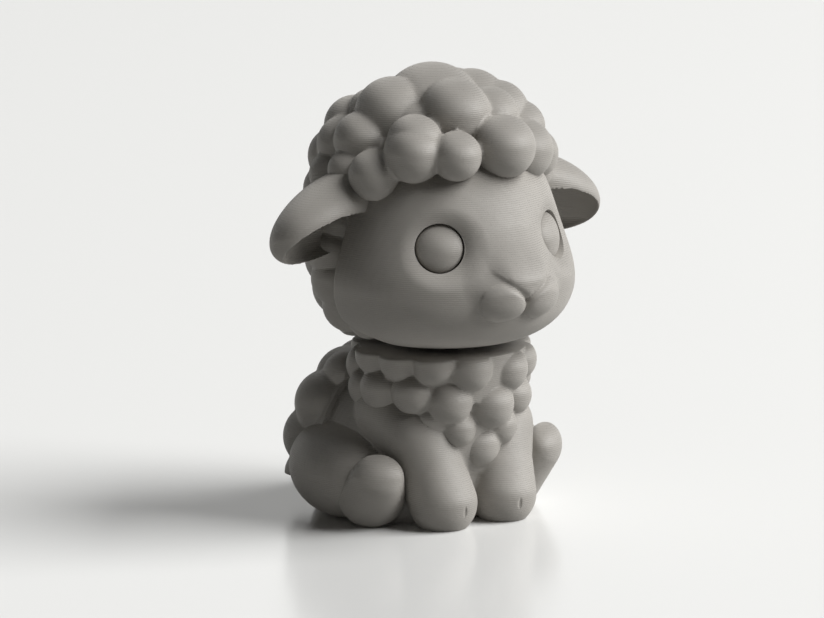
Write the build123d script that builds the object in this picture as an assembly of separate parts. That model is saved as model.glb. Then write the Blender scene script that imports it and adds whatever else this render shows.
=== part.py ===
from build123d import *
from math import asin, atan2, cos, radians, sin
import os

# A seated lamb figurine, printed in layers as a kit of plain grey parts that are glued
# along the creases of the form. The head alone turns, on a pin in the neck.
# Millimetres, +Z up. The lamb faces -Y and its right side is -X. The origin is on the
# floor, under the middle of the whole figure.

# Fits
glue_gap = 0.06
turning_gap = 0.35
pin_clearance = 0.05
overrun = 1.0

# Head: a turned face with full cheeks in front, a round skull under the fleece behind.
# Its heights are rises above the chin, and the crown's middle carries what lies above it.
head_axis_y = -1.6
chin_height = 18.0
chin_radius = 7.4
jaw_radius = 11.6
jaw_rise = 2.5
cheek_radius = 13.3
cheek_rise = 6.2
temple_radius = 12.45
temple_rise = 9.9
crown_rise = 15.2
crown_radius = 9.9
brow_radius = 10.3
brow_lift = 2.3
face_top_drop = 0.5
face_back_y = -0.9
skull_y = 0.3
nape_drop = 6.2
nape_radius = 9.9

# Muzzle and nose
lip_spread = 2.2
lip_radius = 2.9
lip_rise = 6.3
lip_reach = 12.6
nose_radius = 2.8
nose_rise = 9.0
nose_reach = 13.2
mouth_groove_width = 0.3
mouth_groove_depth = 0.8

# Eyes: domed buttons in round sockets
eye_turn = 38.0
eye_rise = 11.1
eye_radius = 2.43
eye_reach = 10.8
eye_bulge = 0.6
eye_socket_margin = 0.25
eye_socket_depth = 2.0
eye_stem_radius = 0.9
eye_stem_length = 2.4

# Ears: fat drooping leaves, hollow towards the front and below
ear_inset = 0.95
ear_middle_side = cheek_radius - ear_inset
ear_middle_y = 0.5
ear_drop = 1.6
ear_half_length = 8.0
ear_half_width = 4.25
ear_end_share = 0.7
ear_droop = 19.5
ear_forward_turn = 13.0
ear_root_length = 3.4
ear_hollow_half_length = 5.2
ear_hollow_half_width = 2.95
ear_hollow_outward = 1.3
ear_hollow_forward = 1.75
ear_hollow_down = 1.9
ear_peg_radius = 1.1
ear_peg_length = 4.0

# Fleece of the head: curls about the crown and the nape, most touching one round outer reach
fleece_y = 0.3
crown_inset = 0.4
nape_inset = 0.6
crown_reach = cheek_radius - crown_inset
nape_reach = cheek_radius - nape_inset
fleece_layer = 0.9
fringe_lift = 4.4
curl_radius = 3.0
# Turn from the front towards the lamb's left, rise above the level, size share, reach share
crown_curl_shares = [
    (-34, 80, 1.8, 1.0),
    (150, 72, 1.4, 0.97),
    (73, 62, 1.3, 1.03),
    (-85, 54, 1.34, 1.01),
    (-8, 58, 1.25, 1.01),
    (62, 43, 1.2, 1.04),
    (59, 30, 1.0, 1.06),
    (-92, 32, 1.1, 1.01),
    (-47, 29, 1.18, 1.13),
    (-22, 23, 0.92, 1.12),
    (7, 26, 1.2, 1.15),
    (34, 24, 1.05, 1.06),
    (57, 16, 0.85, 1.02),
    (-66, 14, 0.94, 1.07),
    (-88, 15, 0.7, 1.0),
    (-112, 28, 0.95, 1.0),
    (-132, 38, 1.05, 1.0),
    (-128, 18, 1.0, 1.0),
    (-120, 54, 0.85, 0.96),
    (-150, 54, 1.15, 0.94),
    (-108, 10, 0.8, 1.0),
    (178, 50, 1.25, 0.97),
    (118, 56, 1.25, 1.0),
    (145, 48, 1.15, 0.97),
    (92, 42, 1.15, 1.0),
    (86, 22, 1.15, 1.0),
    (118, 34, 1.2, 1.0),
    (148, 26, 1.25, 1.0),
    (-178, 24, 1.3, 1.0),
    (-153, 28, 1.2, 1.0),
    (70, 8, 0.8, 1.0),
    (104, 12, 1.1, 1.0),
    (130, 10, 1.15, 1.0),
    (-146, 8, 1.15, 1.0),
    (-172, 2, 1.2, 1.0),
    (158, 2, 1.2, 1.0),
    (-122, -1, 1.0, 1.0),
    (92, 0, 0.8, 1.0),
    (-47, 52, 0.9, 0.99),
    (28, 50, 1.0, 1.0),
]
nape_curl_shares = [
    (-106, 18, 0.95, 1.0),
    (-106, 2, 1.0, 1.03),
    (-104, -14, 1.0, 1.03),
    (-102, -30, 0.95, 1.03),
    (-125, 12, 1.1, 1.02),
    (-127, -6, 1.12, 1.04),
    (-125, -24, 1.1, 1.05),
    (-128, -42, 1.05, 1.05),
    (-150, 6, 1.2, 1.0),
    (-150, -15, 1.15, 1.0),
    (-152, -36, 1.05, 1.0),
    (-176, 10, 1.2, 1.0),
    (-174, -10, 1.2, 1.0),
    (-176, -31, 1.15, 1.0),
    (158, 14, 1.2, 1.0),
    (159, -8, 1.2, 1.0),
    (158, -29, 1.1, 1.0),
    (134, 6, 1.15, 1.0),
    (133, -16, 1.15, 1.0),
    (134, -37, 1.05, 1.0),
    (110, 16, 1.0, 1.0),
    (108, -2, 1.0, 1.0),
    (108, -20, 1.0, 1.0),
    (110, -38, 0.95, 1.0),
    (-86, -38, 0.7, 0.97),
    (88, -38, 0.7, 0.97),
]

# Torso: a chest in front and a rump behind, cut flat at the floor
rump_y = 3.9
rump_height = 5.4
rump_radius = 10.8
chest_y = -0.4
chest_drop = 5.8
chest_radius = 8.0
neck_drop = 2.1

# Neck pin, with a shoulder that carries the head
neck_pin_radius = 1.5
neck_pin_in_torso = 6.0
neck_pin_in_head = 6.0
neck_shoulder_radius = 3.0

# Collar: a round core with curls about it and a bib of curls down the chest
collar_core_radius = 7.5
collar_core_height = 3.6
collar_reach = 9.7
collar_curl_radius = 2.0
# Turn, share of the collar's top height, size share, reach share
collar_curl_shares = [
    (-125, 0.87, 1.2, 1.0),
    (-97, 0.97, 1.15, 1.0),
    (-70, 0.97, 1.12, 1.0),
    (-43, 0.96, 1.12, 0.99),
    (-14, 0.92, 1.26, 0.95),
    (27, 0.88, 1.22, 0.96),
    (54, 0.9, 1.15, 0.98),
    (80, 0.95, 1.15, 1.0),
    (107, 0.95, 1.15, 1.0),
    (134, 0.95, 1.2, 1.0),
    (162, 0.95, 1.2, 1.0),
    (-170, 0.95, 1.2, 1.0),
    (-147, 0.95, 1.15, 1.0),
    (-135, 0.74, 1.25, 0.98),
    (-90, 0.78, 1.22, 0.99),
    (-60, 0.78, 1.15, 0.96),
    (-31, 0.73, 1.22, 0.93),
    (12, 0.69, 1.34, 0.9),
    (50, 0.7, 1.15, 0.93),
    (76, 0.78, 1.15, 0.98),
    (104, 0.77, 1.2, 1.0),
    (-112, 0.76, 1.1, 1.0),
    (-23, 0.57, 1.02, 0.83),
    (46, 0.53, 0.98, 0.8),
    (10, 0.43, 1.22, 0.75),
    (-46, 0.62, 0.95, 0.86),
    (24, 0.56, 0.9, 0.84),
]

# Fleece of the back: broad flat curls on the rump
back_reach = 12.7
back_layer = 0.9
back_front_y = 4.6
back_curl_radius = 3.1
# Turn, rise above the rump's middle, size share, reach share
back_curl_shares = [
    (-112, 52, 0.85, 1.05),
    (-140, 48, 1.05, 1.06),
    (-168, 50, 1.05, 1.04),
    (164, 50, 1.05, 1.04),
    (136, 50, 1.05, 1.06),
    (110, 52, 0.85, 1.05),
    (-116, 32, 1.1, 1.05),
    (-140, 28, 1.12, 1.04),
    (-163, 30, 1.12, 1.02),
    (174, 30, 1.12, 1.02),
    (151, 30, 1.12, 1.02),
    (128, 30, 1.1, 1.04),
    (106, 32, 1.0, 1.04),
    (-128, 9, 1.1, 1.01),
    (-151, 9, 1.1, 1.0),
    (152, 9, 1.1, 1.0),
    (129, 9, 1.1, 1.01),
    (-127, -13, 1.0, 1.0),
    (-148, -13, 1.0, 1.0),
    (148, -13, 1.0, 1.0),
    (127, -13, 1.0, 1.0),
    (175, 8, 1.0, 0.98),
]

# Tail
tail_radius = 2.3
tail_height = 5.0
tail_reach = 10.4
tail_peg_radius = 0.9
tail_peg_length = 3.4

# Forelegs, from the shoulder down to the hoof
foreleg_side = 3.7
foreleg_y = -6.5
hoof_radius = 3.6
hoof_height = 2.6
shoulder_side = 4.9
shoulder_y = -4.2
shoulder_drop = 0.8
shoulder_radius = 3.7
hoof_slit_width = 0.35
hoof_slit_depth = 0.7
hoof_slit_height = 2.8

# Thighs
thigh_side = 8.9
thigh_y = 3.6
thigh_height = 4.9
thigh_half_length = 7.2
thigh_half_width = 4.7
thigh_end_share = 0.72
thigh_turn = 10.0
thigh_peg_radius = 1.2
thigh_peg_length = 3.6

# Hind feet: upright pebbles with a broad heel, a toe that leans out and a flat sole
heel_side = 9.5
heel_y = -2.6
heel_height = 2.9
heel_radius = 3.3
toe_side = 10.3
toe_y = -5.0
toe_height = 5.7
toe_radius = 2.3
hind_foot_half_depth = 1.9
hind_foot_turn = 36.0
hind_foot_peg_radius = 1.0
hind_foot_peg_length = 3.4

sides = {"right": -1, "left": 1}
right_angle = 90
eighth_turn = 45
neck_place = (0, head_axis_y)
collar_top_height = chin_height - turning_gap
torso_top_height = collar_top_height - neck_drop
chest_height = torso_top_height - chest_drop
shoulder_height = chest_height - shoulder_drop
crown_height = chin_height + crown_rise
nape_height = crown_height - nape_drop
brow_height = crown_height + brow_lift
face_top_height = crown_height + crown_radius - face_top_drop
fringe_height = crown_height + fringe_lift
ear_middle_height = crown_height - ear_drop
eye_height = chin_height + eye_rise
lip_height = chin_height + lip_rise
nose_height = chin_height + nose_rise


def ball(place, radius):
    return Pos(*place) * Sphere(radius)


def outward_ball(place, radius, turn):
    """A ball whose pole faces outward, so that no seam runs where it meets its neighbours."""
    return Pos(*place) * Rot(0, 0, turn) * Rot(right_angle, 0, 0) * Sphere(radius)


def around(middle, turn, rise, distance):
    """The point at a turn from the front and a rise above the level."""
    level = distance * cos(radians(rise))
    return (
        middle[0] + level * sin(radians(turn)),
        middle[1] - level * cos(radians(turn)),
        middle[2] + distance * sin(radians(rise)),
    )


def oval(half_length, half_width, end_share, gap=0.0):
    """A turned oval about Z: a round end, a long side arc and a round end."""
    length = half_length + gap
    width = half_width + gap
    end = end_share * width
    side_arc = (width**2 + length**2 - 2 * length * end) / (2 * (width - end))
    lean = atan2(side_arc - width, length - end)
    join = (end * sin(lean), length - end + end * cos(lean))
    crown = (end * sin(lean / 2), length - end + end * cos(lean / 2))
    with BuildSketch(Plane.XZ) as half:
        with BuildLine():
            ThreePointArc((0, length), crown, join)
            ThreePointArc(join, (width, 0), (join[0], -join[1]))
            ThreePointArc((join[0], -join[1]), (crown[0], -crown[1]), (0, -length))
            Line((0, -length), (0, length))
        make_face()
    return revolve(half.sketch, Axis.Z)


def rod(start, end, radius):
    """A round bar from one point to another."""
    run = Vector(*end) - Vector(*start)
    seat = Plane(origin=start, z_dir=run)
    return seat * Cylinder(radius, run.length, align=(Align.CENTER, Align.CENTER, Align.MIN))


def capsule(start, end, start_radius, end_radius):
    """Two balls and the tapered bar that touches both, turned as one form."""
    run = Vector(*end) - Vector(*start)
    lean = asin((start_radius - end_radius) / run.length)
    start_join = (start_radius * cos(lean), start_radius * sin(lean))
    end_join = (end_radius * cos(lean), run.length + end_radius * sin(lean))
    back = lean - radians(eighth_turn)
    ahead = lean + radians(eighth_turn)
    start_side = (start_radius * cos(back), start_radius * sin(back))
    end_side = (end_radius * cos(ahead), run.length + end_radius * sin(ahead))
    foot = (0, -start_radius)
    top = (0, run.length + end_radius)
    with BuildSketch(Plane.XZ) as half:
        with BuildLine():
            ThreePointArc(foot, start_side, start_join)
            Line(start_join, end_join)
            ThreePointArc(end_join, end_side, top)
            Line(top, foot)
        make_face()
    return Plane(origin=start, z_dir=run) * revolve(half.sketch, Axis.Z)


def slab(low, high, back=None):
    """A block wider than the figure between two heights, or only its part behind a plane."""
    width = 2 * (crown_reach + nape_reach)
    block = Pos(0, 0, (low + high) / 2) * Box(width, width, high - low)
    if back is not None:
        block = Pos(0, back + width / 2, 0) * block
    return block


def fused(solids):
    first, *rest = solids
    return first.fuse(*rest)


def largest(shape):
    """The main solid of a shape, without the chips that a cut leaves."""
    return max(shape.solids(), key=lambda solid: solid.volume)


def face_form(gap=0.0):
    """The turned face, with its flat chin, in front of the fleece."""
    chin = (chin_radius + gap, chin_height)
    jaw = (jaw_radius + gap, chin_height + jaw_rise)
    cheek = (cheek_radius + gap, chin_height + cheek_rise)
    temple = (temple_radius + gap, chin_height + temple_rise)
    brow = (brow_radius + gap, brow_height)
    top = (0, face_top_height + gap)
    with BuildSketch(Plane.XZ) as half:
        with BuildLine():
            ThreePointArc(chin, jaw, cheek)
            side_of_eye = TangentArc(cheek, temple, tangent=(0, 1))
            forehead = TangentArc(temple, brow, tangent=side_of_eye % 1)
            TangentArc(brow, top, tangent=forehead % 1)
            Polyline(top, (0, chin_height), chin)
        make_face()
    turned = Pos(0, head_axis_y, 0) * revolve(half.sketch, Axis.Z)
    return turned - slab(0, face_top_height + overrun, face_back_y + gap)


def skull_form(gap=0.0):
    crown = ball((0, skull_y, crown_height), crown_radius + gap)
    nape = ball((0, skull_y, nape_height), nape_radius + gap)
    return crown.fuse(nape) - slab(0, chin_height)


def head_form(gap=0.0):
    return face_form(gap).fuse(skull_form(gap))


def muzzle():
    lips = [ball((side * lip_spread, -lip_reach, lip_height), lip_radius) for side in sides.values()]
    nose = ball((0, -nose_reach, nose_height), nose_radius)
    groove_low = lip_height - lip_radius
    groove = Pos(0, -lip_reach - lip_radius, (groove_low + lip_height) / 2) * Box(
        mouth_groove_width, 2 * mouth_groove_depth, lip_height - groove_low
    )
    return fused([*lips, nose]) - groove


def eye_frame(side):
    """The frame of an eye, with Z out of its socket and the origin on the socket's floor."""
    turn = side * eye_turn
    floor = around((0, head_axis_y, eye_height), turn, 0, eye_reach - eye_socket_depth)
    return Plane(
        origin=floor,
        x_dir=(cos(radians(turn)), sin(radians(turn)), 0),
        z_dir=(sin(radians(turn)), -cos(radians(turn)), 0),
    )


def eye(side):
    """A domed button on a stem."""
    on_floor = (Align.CENTER, Align.CENTER, Align.MIN)
    below_floor = (Align.CENTER, Align.CENTER, Align.MAX)
    dome_radius = (eye_radius**2 + eye_bulge**2) / (2 * eye_bulge)
    dome = Pos(0, 0, eye_socket_depth + eye_bulge - dome_radius) * Sphere(dome_radius)
    button = Cylinder(eye_radius, eye_socket_depth + eye_bulge, align=on_floor) & dome
    stem = Cylinder(eye_stem_radius, eye_stem_length, align=below_floor)
    return eye_frame(side) * Pos(0, 0, glue_gap) * button.fuse(stem)


def eye_socket(side):
    on_floor = (Align.CENTER, Align.CENTER, Align.MIN)
    below_floor = (Align.CENTER, Align.CENTER, Align.MAX)
    mouth = Cylinder(eye_radius + eye_socket_margin, cheek_radius, align=on_floor)
    bore = Cylinder(eye_stem_radius + glue_gap, eye_stem_length + glue_gap, align=below_floor)
    return eye_frame(side) * mouth.fuse(bore)


def ear_frame(side):
    """The frame of an ear, with Z along the leaf and out to its tip."""
    level = cos(radians(ear_droop))
    turn = radians(ear_forward_turn)
    tip = Vector(side * level * cos(turn), -level * sin(turn), -sin(radians(ear_droop)))
    middle = (side * ear_middle_side, ear_middle_y, ear_middle_height)
    return Plane(origin=middle, x_dir=(0, -1, 0), z_dir=tip)


def ear_peg(side, gap=0.0):
    seat = ear_frame(side)
    start = seat.from_local_coords((0, 0, -ear_root_length / 2))
    end = seat.from_local_coords((0, 0, -ear_root_length - ear_peg_length - gap))
    return rod(start, end, ear_peg_radius + gap)


def ear(side):
    """A fat leaf cut flat at its root, less its hollow."""
    inner = Pos(0, 0, -ear_root_length) * Box(
        2 * ear_half_length,
        2 * ear_half_length,
        2 * ear_half_length,
        align=(Align.CENTER, Align.CENTER, Align.MAX),
    )
    leaf = ear_frame(side) * (oval(ear_half_length, ear_half_width, ear_end_share) - inner)
    hollow = ear_frame(side) * oval(ear_hollow_half_length, ear_hollow_half_width, ear_end_share)
    hollow = Pos(side * ear_hollow_outward, -ear_hollow_forward, -ear_hollow_down) * hollow
    return leaf - hollow


def fleece_curls():
    """Every curl of the head, each touching the outer reach of the crown or the nape."""
    groups = [
        (crown_curl_shares, crown_height, crown_reach),
        (nape_curl_shares, nape_height, nape_reach),
    ]
    curls = []
    for shares, height, reach in groups:
        for turn, rise, size_share, reach_share in shares:
            radius = size_share * curl_radius
            place = around((0, fleece_y, height), turn, rise, reach_share * reach - radius)
            curls.append(ball(place, radius))
    return curls


def fleece_cap():
    layers = [
        ball((0, skull_y, crown_height), crown_radius + fleece_layer),
        ball((0, skull_y, nape_height), nape_radius + fleece_layer),
    ]
    behind = slab(0, fringe_height, face_back_y + glue_gap)
    above = slab(fringe_height, crown_height + crown_reach)
    backing = fused(layers) & behind.fuse(above)
    cap = fused([*fleece_curls(), backing]) - skull_form(glue_gap)
    cap = cap - face_form(glue_gap) - slab(0, chin_height)
    for side in sides.values():
        cap = cap - ear(side).fuse(ear_peg(side, glue_gap))
    return largest(cap)


def foreleg(side, gap=0.0):
    """A slanting leg, thickest at the hoof and cut flat at the floor."""
    hoof_place = (side * foreleg_side, foreleg_y, hoof_height)
    shoulder_place = (side * shoulder_side, shoulder_y, shoulder_height)
    leg = capsule(hoof_place, shoulder_place, hoof_radius + gap, shoulder_radius + gap)
    return leg - slab(-hoof_radius, 0)


def hoof_slit(side):
    front = foreleg_y - hoof_radius
    return Pos(side * foreleg_side, front, hoof_slit_height / 2) * Box(
        hoof_slit_width, 2 * hoof_slit_depth, hoof_slit_height
    )


def thigh(side, gap=0.0):
    place = (side * thigh_side, thigh_y, thigh_height)
    lying = Rot(right_angle, 0, side * thigh_turn)
    return Pos(*place) * lying * oval(thigh_half_length, thigh_half_width, thigh_end_share, gap)


def thigh_peg(side, gap=0.0):
    inner = side * (thigh_side - thigh_half_width - thigh_peg_length - gap)
    return rod((side * thigh_side, thigh_y, thigh_height), (inner, thigh_y, thigh_height), thigh_peg_radius + gap)


def hind_foot(side, gap=0.0):
    """A tapered pebble with a flat sole and back, turned outward and cut flat at the floor."""
    heel = (side * heel_side, heel_y, heel_height)
    toe = (side * toe_side, toe_y, toe_height)
    pebble = capsule(heel, toe, heel_radius + gap, toe_radius + gap)
    across = Vector(cos(radians(hind_foot_turn)), side * sin(radians(hind_foot_turn)), 0)
    up = Vector(*toe) - Vector(*heel)
    width = 2 * (heel_height + toe_height + heel_radius)
    sole = Plane(origin=heel, x_dir=across, z_dir=across.cross(up)) * Box(
        width, width, 2 * (hind_foot_half_depth + gap)
    )
    return (pebble & sole) - slab(-heel_height - heel_radius, 0)


def hind_foot_peg(side, gap=0.0):
    start = (side * heel_side, heel_y, heel_height)
    run = Vector(side * thigh_side, thigh_y, thigh_height) - Vector(*start)
    end = Vector(*start) + run.normalized() * (heel_radius + hind_foot_peg_length + gap)
    return rod(start, end, hind_foot_peg_radius + gap)


def tail_peg(gap=0.0):
    start = (0, rump_y + tail_reach, tail_height)
    end = (0, rump_y + tail_reach - tail_radius - tail_peg_length - gap, tail_height)
    return rod(start, end, tail_peg_radius + gap)


def tail(gap=0.0):
    return ball((0, rump_y + tail_reach, tail_height), tail_radius + gap)


def torso_form(gap=0.0):
    rump = ball((0, rump_y, rump_height), rump_radius + gap)
    chest = ball((0, chest_y, chest_height), chest_radius + gap)
    top = rump_height + rump_radius + chest_radius
    return rump.fuse(chest) - slab(-rump_radius, 0) - slab(torso_top_height + gap, top)


def collar_core(gap=0.0):
    core = Cylinder(
        collar_core_radius + gap,
        collar_core_height + gap,
        align=(Align.CENTER, Align.CENTER, Align.MAX),
    )
    return Pos(*neck_place, collar_top_height) * core


def collar():
    curls = []
    for turn, height_share, size_share, reach_share in collar_curl_shares:
        middle = (*neck_place, height_share * collar_top_height)
        radius = size_share * collar_curl_radius
        place = around(middle, turn, 0, reach_share * collar_reach - radius)
        curls.append(outward_ball(place, radius, turn))
    ring = fused(curls) - torso_form(glue_gap)
    ring = ring.fuse(collar_core()) - slab(collar_top_height, chin_height + collar_curl_radius)
    for side in sides.values():
        ring = ring - foreleg(side, glue_gap)
    return largest(ring - neck_bore(glue_gap))


def neck_bore(gap):
    low = collar_top_height - neck_pin_in_torso - collar_core_height - gap
    high = chin_height + neck_pin_in_head + gap
    return rod((*neck_place, low), (*neck_place, high), neck_pin_radius + gap)


def neck_pin():
    shoulder = rod(
        (*neck_place, collar_top_height),
        (*neck_place, chin_height - pin_clearance),
        neck_shoulder_radius,
    )
    return neck_bore(0.0).fuse(shoulder)


def back_fleece():
    middle = (0, rump_y, rump_height)
    curls = []
    for turn, rise, size_share, reach_share in back_curl_shares:
        radius = size_share * back_curl_radius
        curls.append(ball(around(middle, turn, rise, reach_share * back_reach - radius), radius))
    layer = ball(middle, rump_radius + back_layer) & slab(tail_height, chin_height, back_front_y)
    fleece = fused([*curls, layer]) - torso_form(glue_gap)
    fleece = fleece - slab(collar_top_height, chin_height + back_curl_radius)
    fleece = fleece - collar_cutter() - tail(glue_gap)
    for side in sides.values():
        fleece = fleece - thigh(side, glue_gap)
    return largest(fleece)


def collar_cutter():
    """The room that the collar takes, as one plain drum."""
    drum = Cylinder(
        collar_reach + glue_gap, collar_top_height, align=(Align.CENTER, Align.CENTER, Align.MIN)
    )
    return Pos(*neck_place, torso_top_height - collar_core_height) * drum


def torso():
    body = torso_form()
    for side in sides.values():
        body = body - foreleg(side, glue_gap)
    for side in sides.values():
        body = body - thigh(side, glue_gap) - thigh_peg(side, glue_gap)
        body = body - hind_foot(side, glue_gap)
    body = body - tail(glue_gap) - tail_peg(glue_gap)
    return largest(body - collar_core(glue_gap) - neck_bore(glue_gap))


def head():
    shell = head_form().fuse(muzzle())
    for side in sides.values():
        shell = shell - eye_socket(side) - ear(side) - ear_peg(side, glue_gap)
    return largest(shell - neck_bore(pin_clearance))


def thigh_piece(side):
    """A thigh with its peg, cleared for the foreleg, the foot and the foot's peg."""
    piece = thigh(side).fuse(thigh_peg(side)) - foreleg(side, glue_gap)
    return largest(piece - hind_foot(side, glue_gap) - hind_foot_peg(side, glue_gap))


def hind_foot_piece(side):
    """A hind foot with its peg, cleared for the foreleg."""
    piece = hind_foot(side).fuse(hind_foot_peg(side))
    return largest(piece - foreleg(side, glue_gap))


def export(name, shape):
    shape.label = name
    export_step(shape, f"parts/{name}.step")
    print(name, round(shape.volume, 1), shape.is_valid)


os.makedirs("parts", exist_ok=True)
export("torso", torso())
export("collar_and_bib", collar())
export("back_fleece", back_fleece())
export("tail", tail().fuse(tail_peg()))
export("neck_pin", neck_pin())
export("head", head())
export("head_fleece", fleece_cap())
for name, side in sides.items():
    export(f"{name}_ear", largest(ear(side).fuse(ear_peg(side))))
    export(f"{name}_eye", eye(side))
    export(f"{name}_foreleg", largest(foreleg(side) - hoof_slit(side)))
    export(f"{name}_thigh", thigh_piece(side))
    export(f"{name}_hind_foot", hind_foot_piece(side))
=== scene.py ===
from math import cos, pi, radians, sin, sqrt, tanh

import bmesh
import bpy
from bpy.props import FloatProperty, PointerProperty, StringProperty
from bpy.types import Operator, Panel, PropertyGroup
from mathutils import Matrix, Vector


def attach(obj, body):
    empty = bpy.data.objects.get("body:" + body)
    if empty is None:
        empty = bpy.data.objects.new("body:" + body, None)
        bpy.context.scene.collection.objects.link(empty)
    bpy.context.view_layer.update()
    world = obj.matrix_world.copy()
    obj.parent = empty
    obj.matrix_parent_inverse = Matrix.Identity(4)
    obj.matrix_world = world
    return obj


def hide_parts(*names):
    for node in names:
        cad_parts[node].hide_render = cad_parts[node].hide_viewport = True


bl_info = {
    "name": "Seated Lamb Figurine",
    "version": (1, 0, 0),
    "blender": (4, 5, 0),
    "location": "View3D > Sidebar > Lamb",
    "description": "Dresses the packed lamb figurine as a grey layered print",
    "category": "Add Mesh",
}

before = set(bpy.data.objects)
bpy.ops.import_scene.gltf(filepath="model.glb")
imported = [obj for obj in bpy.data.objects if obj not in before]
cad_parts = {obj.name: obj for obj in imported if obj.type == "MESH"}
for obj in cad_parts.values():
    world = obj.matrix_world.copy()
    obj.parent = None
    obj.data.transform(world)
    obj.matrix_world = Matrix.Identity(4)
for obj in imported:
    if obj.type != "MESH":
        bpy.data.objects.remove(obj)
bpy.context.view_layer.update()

# The pieces are shaped in millimetres and brought to metres when they are finished
METRES_PER_MM = 0.001
SIDES = {"right": -1, "left": 1}
# Points this near become one, at the seam of a turned form and in a finished piece
SEAM_WELD = 0.001
PIECE_WELD = 0.002

# Heights and reaches that the pieces share with the solids
HEAD_AXIS_Y = -1.6
CHIN_HEIGHT = 18.0
COLLAR_TOP = 17.65
COLLAR_REACH = 9.7
FLEECE_Y = 0.3
CROWN_HEIGHT = 33.2
NAPE_HEIGHT = 27.0
BACK_MIDDLE = (0, 3.9, 5.4)

# The cap of curls lies round two middles, and a core fills it under the curls
CROWN_REACH = 12.9
NAPE_REACH = 12.7
CROWN_CORE_RADIUS = 10.4
NAPE_CORE_RADIUS = 10.7
HEAD_CURL_RADIUS = 3.0
FLEECE_ABOVE_CHIN = 0.15
# The cap is large, so its mesh is coarser than the collar's by this factor
HEAD_GRAIN_SHARE = 1.25
# Turn from the front towards the lamb's left, rise above the level, size share, reach share
CROWN_CURLS = (
    (-34, 80, 1.8, 1.0), (150, 72, 1.4, 0.97), (73, 62, 1.3, 0.99), (-83, 56, 1.28, 1.03),
    (-14, 54, 1.2, 1.07), (63, 48, 1.08, 1.02), (60, 34, 0.92, 1.03), (-89, 33, 0.95, 1.02),
    (-46, 32, 0.93, 1.1), (-46, 26, 1.0, 1.12), (-23, 24, 0.84, 1.11), (8, 27, 1.07, 1.14),
    (34, 24, 1.05, 1.06), (56, 18, 0.88, 1.03), (-67, 14, 0.86, 1.08), (-88, 15, 0.7, 1.0),
    (-112, 28, 0.95, 1.0), (-132, 38, 1.05, 1.0), (-128, 18, 1.0, 1.0), (-120, 52, 0.85, 0.94),
    (-150, 54, 1.15, 0.91), (-108, 10, 0.8, 1.0), (178, 50, 1.25, 0.97), (118, 56, 1.25, 1.0),
    (145, 48, 1.15, 0.97), (92, 42, 1.15, 1.0), (86, 22, 1.15, 1.0), (118, 34, 1.2, 1.0),
    (148, 26, 1.25, 1.0), (-178, 24, 1.3, 1.0), (-153, 28, 1.2, 1.0), (70, 8, 0.8, 1.0),
    (104, 12, 1.1, 1.0), (130, 10, 1.15, 1.0), (-146, 8, 1.15, 1.0), (-172, 2, 1.2, 1.0),
    (158, 2, 1.2, 1.0), (-122, -1, 1.0, 1.0), (92, 0, 0.8, 1.0), (-47, 48, 0.85, 0.91),
    (28, 50, 1.0, 1.0),
)
NAPE_CURLS = (
    (-106, 18, 0.95, 1.0), (-106, 2, 1.0, 1.03), (-104, -14, 1.0, 1.03), (-102, -30, 0.95, 1.03),
    (-125, 12, 1.1, 1.02), (-127, -6, 1.12, 1.01), (-125, -24, 1.1, 1.01), (-128, -42, 1.0, 0.99),
    (-150, 6, 1.2, 1.0), (-150, -15, 1.15, 1.0), (-152, -36, 1.05, 1.0), (-176, 10, 1.2, 1.0),
    (-174, -10, 1.2, 1.0), (-176, -31, 1.15, 1.0), (158, 14, 1.2, 1.0), (159, -8, 1.2, 1.0),
    (158, -29, 1.1, 1.0), (134, 6, 1.15, 1.0), (133, -16, 1.15, 1.0), (134, -37, 1.05, 1.0),
    (110, 16, 1.0, 1.0), (108, -2, 1.0, 1.0), (108, -20, 1.0, 1.0), (110, -38, 0.95, 1.0),
    (-86, -38, 0.7, 0.97), (88, -38, 0.7, 0.97),
)

# The collar and bib, with a tapered core under the curls and a band that the head presses down
COLLAR_CURL_RADIUS = 2.0
COLLAR_CORE_FOOT = 7.6
COLLAR_CORE_TOP = 8.4
COLLAR_CORE_HEIGHT = 5.0
COLLAR_PRESSED_BAND = 0.9
# Turn, share of the collar's top height, size share, reach share
COLLAR_CURLS = (
    (-125, 0.87, 1.2, 1.0), (-97, 0.97, 1.15, 1.0), (-70, 0.97, 1.12, 1.0), (-43, 0.96, 1.12, 0.99),
    (-14, 0.92, 1.26, 0.95), (27, 0.88, 1.22, 0.96), (54, 0.9, 1.15, 0.98), (80, 0.95, 1.15, 1.0),
    (107, 0.95, 1.15, 1.0), (134, 0.95, 1.2, 1.0), (162, 0.95, 1.2, 1.0), (-170, 0.95, 1.2, 1.0),
    (-147, 0.95, 1.15, 1.0), (-135, 0.74, 1.25, 0.98), (-90, 0.78, 1.22, 0.99), (-60, 0.78, 1.15, 0.96),
    (-31, 0.73, 1.22, 0.93), (12, 0.69, 1.34, 0.9), (50, 0.7, 1.15, 0.93), (76, 0.78, 1.15, 0.98),
    (104, 0.77, 1.2, 1.0), (-112, 0.76, 1.1, 1.0), (-23, 0.57, 1.02, 0.83), (46, 0.53, 0.98, 0.8),
    (6, 0.46, 1.32, 0.77), (-46, 0.62, 0.95, 0.86), (26, 0.55, 1.02, 0.85),
)

# The back's curls lie round the rump's middle, behind the front plane and above the foot
BACK_REACH = 12.7
BACK_CURL_RADIUS = 3.1
BACK_CORE_RADIUS = 11.3
BACK_FRONT_Y = 4.4
BACK_FOOT = 3.2
BACK_GRAIN_SHARE = 1.2
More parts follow.
